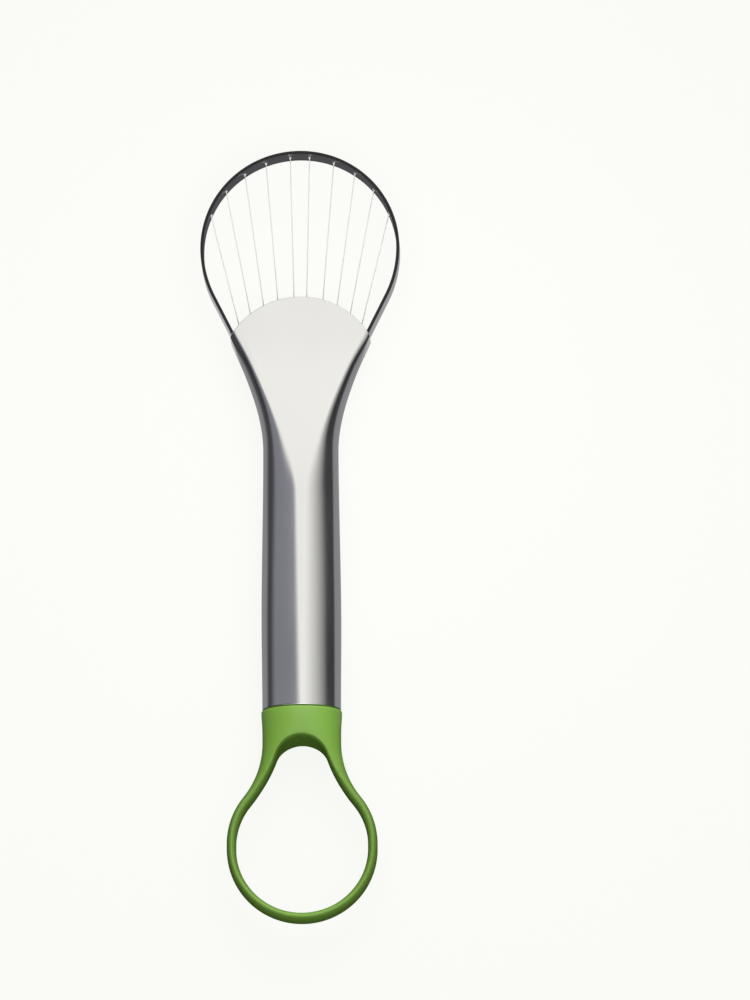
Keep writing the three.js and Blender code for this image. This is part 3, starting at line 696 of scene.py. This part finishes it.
class LoopShape:
    """The loop's outline, its opening and its depth. Points are (x, station)."""

    def __init__(self):
        tube = bpy.context.scene.slicer_tube
        loop = bpy.context.scene.slicer_loop
        self.loop = loop
        self.tube = tube
        self.collar = TUBE_END + tube.seat_gap
        self.collar_half = tube.end_half_width + loop.collar_overhang
        self.waist = tube.end_half_width
        self.ring_bottom = LOOP_BOTTOM - loop.ring_radius
        self.ring_top = self.ring_bottom - loop.ring_straight
        self.opening_top = self.ring_bottom - loop.opening_straight
        self.ring_inner = loop.ring_radius - loop.ring_width
        self.ring_round = (loop.ring_depth - loop.ring_side_flat) / 2
        self.shoulder = self.collar + loop.shoulder_length
        self.arch = self.collar + loop.arch_wall + loop.arch_radius
        drop = self.ring_top - self.shoulder
        self.outer_flank = (self.waist ** 2 + drop ** 2 - loop.ring_radius ** 2)
        self.outer_flank /= 2 * (loop.ring_radius - self.waist)
        self.flank_end = self.ring_top - loop.ring_radius * drop / (self.outer_flank + loop.ring_radius)
        span = self.opening_top - self.arch
        to_arch = loop.flank_radius + loop.arch_radius
        to_ring = loop.flank_radius + self.ring_inner
        lift = (to_ring ** 2 - to_arch ** 2 - span ** 2) / (2 * span)
        self.flank_centre = Vector((math.sqrt(to_arch ** 2 - lift ** 2), self.arch - lift))

    def half_width(self, station):
        if station < self.shoulder:
            flare = max(0.0, 1 - (station - self.collar) / self.loop.collar_lip_length)
            return mix(self.waist, self.collar_half, flare ** 2) - self.rim_cut(station)
        drop = station - self.shoulder
        return self.waist + self.outer_flank - math.sqrt(self.outer_flank ** 2 - drop ** 2)

    def rim_cut(self, station):
        """How far the collar's rounded rim draws in."""
        radius = self.loop.rim_round
        short = max(0.0, 1 - (station - self.collar) / radius)
        return radius * (1 - math.sqrt(max(0.0, 1 - short ** 2)))

    def inward(self, x, station):
        """Distance in from the outline."""
        if station > self.flank_end:
            centre = min(max(station, self.ring_top), self.ring_bottom)
            return self.loop.ring_radius - math.hypot(x, station - centre)
        lean = max(0.0, station - self.shoulder) / self.outer_flank
        return (self.half_width(station) - x) * math.sqrt(1 - lean ** 2)

    def taper(self, station):
        """0 on the collar's oval, 1 on the ring's strand."""
        return ramp(station, self.collar + self.loop.thinning_start, self.flank_end)

    def half_depth(self, x, station):
        taper = self.taper(station)
        cut = self.rim_cut(station)
        full = mix(self.tube.half_depth, self.loop.ring_depth / 2, taper) - cut
        round_width = mix(self.waist - self.tube.end_flat / 2, self.loop.ring_width / 2, taper)
        round_depth = mix(self.tube.half_depth - self.tube.side_flat / 2, self.ring_round, taper) - cut
        in_round = min(1.0, max(0.0, 1 - self.inward(x, station) / round_width))
        return full - round_depth * (1 - math.sqrt(1 - in_round ** 2))

    def rib_length(self, start, heading):
        """From the opening's edge to the outline, along the rib."""
        far = self.loop.ring_radius * LONGEST_RIB
        if heading.y < 0:
            far = min(far, (start.y - self.collar) / -heading.y)
        if self.inward(*(start + heading * far)) >= 0:
            return far
        near = 0.0
        for _ in range(HALVINGS):
            middle = (near + far) / 2
            if self.inward(*(start + heading * middle)) < 0:
                far = middle
            else:
                near = middle
        return near

    def ribs(self):
        """Ribs of the right half, from the top of the opening to the bottom of the ring."""
        loop = self.loop
        arch_centre = Vector((0.0, self.arch))
        opening_top = Vector((0.0, self.opening_top))
        ring_bottom = Vector((0.0, self.ring_bottom))
        corner = math.atan2(self.collar_half, self.arch - self.collar)
        arch_end = math.atan2(self.flank_centre.x, self.arch - self.flank_centre.y)
        flank_end = math.atan2(self.flank_centre.x, self.opening_top - self.flank_centre.y)
        arcs = [
            (arch_centre, loop.arch_radius, 0.0, corner, RIB_COUNTS["crown"]),
            (arch_centre, loop.arch_radius, corner, arch_end, RIB_COUNTS["shoulder"]),
            (self.flank_centre, -loop.flank_radius, arch_end, flank_end, RIB_COUNTS["flank"]),
            (opening_top, self.ring_inner, flank_end, math.pi / 2, RIB_COUNTS["ring top"]),
            (ring_bottom, self.ring_inner, math.pi / 2, math.pi, RIB_COUNTS["ring bottom"]),
            (ring_bottom, self.ring_inner, math.pi, math.pi, 1),
        ]
        ribs = []
        for centre, radius, first, last, steps in arcs:
            for step in range(steps):
                a = mix(first, last, step / steps)
                heading = Vector((math.sin(a), -math.cos(a)))
                start = centre + heading * radius
                ribs.append((start, heading, self.rib_length(start, heading)))
        return ribs

    def section(self, rib, mirror):
        """The closed section on a rib, out along the front and back along the rear."""
        start, heading, reach = rib
        taper = self.taper(start.y)
        fillet = min(mix(self.loop.arch_fillet, self.loop.ring_width / 2, taper), reach / 2)
        fillet_depth = mix(self.loop.arch_fillet_depth, self.ring_round, taper)
        along = [fillet * (1 - math.cos(step / FILLET_STEPS * math.pi / 2)) for step in range(FILLET_STEPS)]
        along += [reach - (reach - fillet) * (1 - step / OUTER_STEPS) ** 2 for step in range(OUTER_STEPS + 1)]
        front = []
        for distance in along:
            point = start + heading * distance
            in_fillet = max(0.0, 1 - distance / fillet)
            z = self.half_depth(point.x, point.y) - fillet_depth * (1 - math.sqrt(1 - in_fillet ** 2))
            front.append((mirror * point.x, point.y, z))
        return [place(x, s, z) for x, s, z in front] + [place(x, s, -z) for x, s, z in reversed(front)]


class SLICER_OT_loop_end(bpy.types.Operator):
    """Moulds the green collar and pear-shaped loop, with the spigot that plugs the tube"""

    bl_idname = "slicer.loop_end"
    bl_label = "Loop end"

    def execute(self, context):
        finish = context.scene.slicer_finish
        shape = LoopShape()
        ribs = shape.ribs()
        sections = [shape.section(rib, 1) for rib in ribs]
        sections += [shape.section(rib, -1) for rib in reversed(ribs[1:-1])]
        bm = bmesh.new()
        loft(bm, sections, closed=True)
        self.add_spigot(bm, shape)
        green = moulded_green(finish.green, finish.green_roughness)
        finish_piece("loop_moulding", bm, [green], ["loop_end"])
        return {"FINISHED"}

    def add_spigot(self, bm, shape):
        """The plug inside the tube, with a chamfered end."""
        bore = TubeShape()
        tube = shape.tube
        loop = shape.loop
        collar = shape.collar
        chamfer = loop.spigot_chamfer
        tip = collar - loop.spigot_length
        sections = []
        for station, inset in ((collar + loop.spigot_root, 0.0), (tip + chamfer, 0.0), (tip, chamfer)):
            gap = tube.wall + tube.seat_gap + inset
            points = [bore.point(TUBE_END, gap, *mark) for mark in bore.marks]
            sections.append([place(x, station, z) for x, z in points])
        loft(bm, sections)


class SLICER_OT_ferrules(bpy.types.Operator):
    """Gives the crimped sleeves inside the tube their steel"""

    bl_idname = "slicer.ferrules"
    bl_label = "Ferrules"

    def execute(self, context):
        base = context.scene.slicer_finish.sleeve_steel
        steel = satin_steel("crimp_steel", base, roughness=0.4, grain=(900.0, 900.0, 900.0))
        for name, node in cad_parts.items():
            if name.startswith("wire_ferrule"):
                node.data.materials.clear()
                node.data.materials.append(steel)
        return {"FINISHED"}


# Stage: angles in degrees, and each fade from its start to its end

STAGE_HALF = 6.0
FLOOR_DROP = 0.0002
FLOOR_BOUNCE = (0.2, 0.2, 0.2)
FLOOR_ROUGHNESS = 0.9

CARD_DROP = 0.0001
CARD_NARROWING = 0.6
CARD_COLOURS = {
    "left": (0.31, 0.31, 0.33),
    "far left": (0.075, 0.075, 0.082),
    "right": (0.32, 0.32, 0.33),
    "far right": (0.055, 0.055, 0.057),
    "left of hoop": (0.7, 0.7, 0.69),
    "right of hoop": (0.54, 0.54, 0.53),
    "in hoop": (0.12, 0.12, 0.125),
    "past hoop": (0.07, 0.07, 0.075),
    "by loop": (0.0, 0.0, 0.0),
}
CARD_FADES = {
    "left": (0.1, 0.038),
    "right": (0.11, 0.06),
    "left to right": (0.0, 0.025),
    "by mouth": (0.0, 0.03),
    "past hoop": (0.06, 0.12),
    "head": (0.055, 0.065),
    "above loop": (-0.062, -0.052),
}

SOFTBOX_COLOUR = (1.0, 0.99, 0.955)
WALL_COLOURS = {
    "left": (0.29, 0.29, 0.335),
    "left foot": (0.075, 0.075, 0.082),
    "beside panel": (0.045, 0.046, 0.054),
    "left ahead": (0.5, 0.5, 0.5),
    "right": (0.045, 0.045, 0.048),
    "loop foot": (0.04, 0.04, 0.045),
    "loop top": (0.62, 0.62, 0.62),
}
ANGLE_FADES = {
    "handle left": (-12, -3),
    "handle right": (69, 3),
    "mouth left": (-58, -8),
    "mouth right": (94, 76),
    "near end": (-45, -10),
    "left foot": (-90, -66),
    "right wall": (0, 20),
}
HEADING_FADES = {
    "mouth": (0.28, 0.38),
    "panel start": (0.06, 0.14),
    "panel end": (0.38, 0.3),
    "left ahead": (0.5, 0.7),
    "loop wall": (-0.15, -0.45),
}
LOOP_WALL_HEIGHTS = (0.15, 0.8)

FILL_PLACE = (0.02, 0.05, 0.18)
FILL_SIZE = 0.2
FRONT_PLACE = (0.0, -0.45, 1.0)
FRONT_SIZE = 0.9
SENSOR_WIDTH_MM = 36.0
CLIP_END = 50.0


def plane_object(name, z, material):
    """A level square of the stage."""
    bm = bmesh.new()
    bmesh.ops.create_grid(bm, x_segments=1, y_segments=1, size=STAGE_HALF)
    bmesh.ops.translate(bm, vec=(0.0, 0.0, z), verts=bm.verts)
    mesh = bpy.data.meshes.new(name)
    bm.to_mesh(mesh)
    bm.free()
    mesh.materials.append(material)
    plane = bpy.data.objects.new(name, mesh)
    bpy.context.scene.collection.objects.link(plane)
    return plane


class SLICER_OT_stage(bpy.types.Operator):
    """Sets the pale floor, the soft studio light and the camera"""

    bl_idname = "slicer.stage"
    bl_label = "Stage"

    def execute(self, context):
        stage = context.scene.slicer_stage
        self.add_floor(stage)
        self.add_card(context.scene.slicer_hoop)
        self.add_studio(stage)
        self.add_lamps(stage)
        self.add_camera(stage)
        context.scene.view_settings.view_transform = "Standard"
        return {"FINISHED"}

    def add_floor(self, stage):
        """A floor that is white to the eye and to metal, and throws little light back on the tool."""
        material, net, surface = new_material("pale_floor")
        surface["Base Color"].default_value = (*scaled(stage.floor_colour, stage.floor_shade), 1.0)
        surface["Roughness"].default_value = FLOOR_ROUGHNESS
        surface["Specular IOR Level"].default_value = 0.0
        surface["Emission Color"].default_value = (*stage.floor_colour, 1.0)
        surface["Emission Strength"].default_value = stage.floor_glow
        bounce = net.nodes.new("ShaderNodeBsdfDiffuse")
        bounce.inputs["Color"].default_value = (*FLOOR_BOUNCE, 1.0)
        rays = net.nodes.new("ShaderNodeLightPath").outputs
        direct = net.calc("ADD", rays["Is Camera Ray"], rays["Is Glossy Ray"])
        direct = net.calc("ADD", direct, rays["Is Transmission Ray"])
        choose = net.nodes.new("ShaderNodeMixShader")
        net.feed(direct, choose.inputs["Fac"])
        net.feed(bounce.outputs["BSDF"], choose.inputs[1])
        net.feed(net.nodes["Principled BSDF"].outputs["BSDF"], choose.inputs[2])
        net.feed(choose.outputs["Shader"], net.nodes["Material Output"].inputs["Surface"])
        plane_object("floor", CAD_LOW.z - FLOOR_DROP, material)

    def add_card(self, hoop):
        """A glowing card under the tool that only its metal sees, a painted reflection: grey beside the
        handle, dark further out.
        """
        material, net, _ = new_material("grey_card")
        net.nodes.remove(net.nodes["Principled BSDF"])
        spot = net.parts("Object")
        colours = CARD_COLOURS
        fades = CARD_FADES
        by_mouth = net.step(spot["Y"], *fades["by mouth"])
        narrowing = net.calc("ADD", 1.0, net.calc("MULTIPLY", by_mouth, CARD_NARROWING))
        aside = net.calc("MULTIPLY", net.calc("ABSOLUTE", spot["X"]), narrowing)
        left = net.tint(net.step(aside, *fades["left"]), colours["far left"], colours["left"])
        right = net.tint(net.step(aside, *fades["right"]), colours["far right"], colours["right"])
        rightwards = net.step(spot["X"], *fades["left to right"])
        handle = net.tint(rightwards, left, right)
        round_hoop = net.tint(rightwards, colours["left of hoop"], colours["right of hoop"])
        from_centre = net.calc("SUBTRACT", spot["Y"], TOP_Y - hoop.radius)
        squares = [net.calc("MULTIPLY", side, side) for side in (spot["X"], from_centre)]
        distance = net.calc("SQRT", net.calc("ADD", *squares))
        # Painted shade in the reflection: dark inside the hoop, where the strip shades the floor, and black
        # beside the loop.
        outside = net.step(distance, hoop.radius - hoop.thickness, hoop.radius)
        head = net.tint(outside, colours["in hoop"], round_hoop)
        head = net.tint(net.step(distance, *fades["past hoop"]), head, colours["past hoop"])
        lower = net.tint(net.step(spot["Y"], *fades["above loop"]), colours["by loop"], handle)
        glow = net.nodes.new("ShaderNodeEmission")
        net.feed(net.tint(net.step(spot["Y"], *fades["head"]), lower, head), glow.inputs["Color"])
        net.feed(glow.outputs["Emission"], net.nodes["Material Output"].inputs["Surface"])
        card = plane_object("grey_card", CAD_LOW.z - CARD_DROP, material)
        card.visible_camera = False
        card.visible_diffuse = False
        card.visible_shadow = False
        card.visible_transmission = False

    def add_studio(self, stage):
        """A softbox over the tool that fades to the right, and grey walls on the left and past the loop."""
        world = bpy.data.worlds.new("studio")
        bpy.context.scene.world = world
        world.use_nodes = True
        net = NodeNet(world.node_tree)
        heading = net.parts("Generated")
        sideways = net.calc("ARCTAN2", heading["X"], heading["Z"])
        lengthways = net.calc("ARCTAN2", heading["Y"], heading["Z"])

        def turn(value, name, curve="SMOOTHSTEP"):
            start, end = ANGLE_FADES[name]
            return net.step(value, math.radians(start), math.radians(end), curve)

        def ahead(name):
            return net.step(heading["Y"], *HEADING_FADES[name])

        fade = turn(sideways, "handle right", "LINEAR")
        over_handle = net.calc("MULTIPLY", turn(sideways, "handle left"), fade)
        fade = turn(sideways, "mouth right")
        over_mouth = net.calc("MULTIPLY", turn(sideways, "mouth left"), fade)
        softbox = net.tint(ahead("mouth"), over_handle, over_mouth)
        softbox = net.calc("MULTIPLY", softbox, turn(lengthways, "near end"))
        colours = WALL_COLOURS
        panel = net.calc("MULTIPLY", ahead("panel start"), ahead("panel end"))
        left_wall = net.tint(turn(sideways, "left foot"), colours["left foot"], colours["left"])
        left_wall = net.tint(panel, colours["beside panel"], left_wall)
        left_wall = net.tint(ahead("left ahead"), left_wall, colours["left ahead"])
        walls = net.tint(turn(sideways, "right wall"), left_wall, colours["right"])
        height = net.step(heading["Z"], *LOOP_WALL_HEIGHTS)
        loop_wall = net.tint(height, colours["loop foot"], colours["loop top"])
        walls = net.tint(ahead("loop wall"), walls, loop_wall)
        lit = tuple(stage.sky_strength * channel for channel in SOFTBOX_COLOUR)
        net.feed(net.tint(softbox, walls, lit), net.nodes["Background"].inputs["Color"])

    def add_lamp(self, name, place_at, size, power):
        light = bpy.data.lights.new(name, "AREA")
        light.shape = "DISK"
        light.size = size
        light.energy = power
        lamp = bpy.data.objects.new(name, light)
        lamp.location = place_at
        lamp.rotation_euler = (-lamp.location).to_track_quat("-Z", "Y").to_euler()
        lamp.visible_camera = False
        bpy.context.scene.collection.objects.link(lamp)
        return lamp

    def add_lamps(self, stage):
        """A soft fill over the tool that no metal mirrors, and a lamp for the faces at the loop's end."""
        fill = self.add_lamp("overhead_fill", FILL_PLACE, FILL_SIZE, stage.key_power)
        fill.visible_glossy = False
        self.add_lamp("front_lamp", FRONT_PLACE, FRONT_SIZE, stage.front_power)

    def add_camera(self, stage):
        data = bpy.data.cameras.new("photo_camera")
        camera = bpy.data.objects.new("photo_camera", data)
        bpy.context.scene.collection.objects.link(camera)
        back = Vector((math.tan(stage.camera_side), -math.tan(stage.camera_tilt), 1.0)).normalized()
        right = Vector((0.0, 1.0, 0.0)).cross(back).normalized()
        turn = Matrix((right, back.cross(right), back)).transposed().to_4x4()
        turn = turn @ Matrix.Rotation(stage.camera_roll, 4, "Z")
        middle = (CAD_LOW + CAD_HIGH) / 2
        shift = turn @ Vector((stage.offset_right, stage.offset_up, stage.camera_distance))
        camera.matrix_world = Matrix.Translation(middle + shift) @ turn
        data.sensor_width = SENSOR_WIDTH_MM
        data.lens = data.sensor_width * stage.camera_distance / stage.frame_height
        data.clip_end = CLIP_END
        bpy.context.scene.camera = camera


# Panel and registration

class SLICER_PT_panel(bpy.types.Panel):
    """Lists the slicer's pieces and stage"""

    bl_idname = "SLICER_PT_panel"
    bl_label = "Wire slicer"
    bl_space_type = "VIEW_3D"
    bl_region_type = "UI"
    bl_category = "Slicer"

    def draw(self, context):
        for operator in OPERATORS:
            self.layout.operator(operator.bl_idname)


GROUPS = {
    "slicer_hoop": SlicerHoop,
    "slicer_tube": SlicerTube,
    "slicer_wires": SlicerWires,
    "slicer_loop": SlicerLoop,
    "slicer_finish": SlicerFinish,
    "slicer_stage": SlicerStage,
}
OPERATORS = (
    SLICER_OT_handle_tube,
    SLICER_OT_hoop_strip,
    SLICER_OT_wires,
    SLICER_OT_loop_end,
    SLICER_OT_ferrules,
    SLICER_OT_stage,
)


def register():
    for item in (*GROUPS.values(), *OPERATORS, SLICER_PT_panel):
        bpy.utils.register_class(item)
    for name, group in GROUPS.items():
        setattr(bpy.types.Scene, name, PointerProperty(type=group))


def unregister():
    for name in GROUPS:
        delattr(bpy.types.Scene, name)
    for item in reversed((*GROUPS.values(), *OPERATORS, SLICER_PT_panel)):
        bpy.utils.unregister_class(item)


def main():
    register()
    bpy.ops.slicer.handle_tube()
    bpy.ops.slicer.hoop_strip()
    bpy.ops.slicer.wires()
    bpy.ops.slicer.loop_end()
    bpy.ops.slicer.ferrules()
    bpy.ops.slicer.stage()


if __name__ == "__main__":
    main()
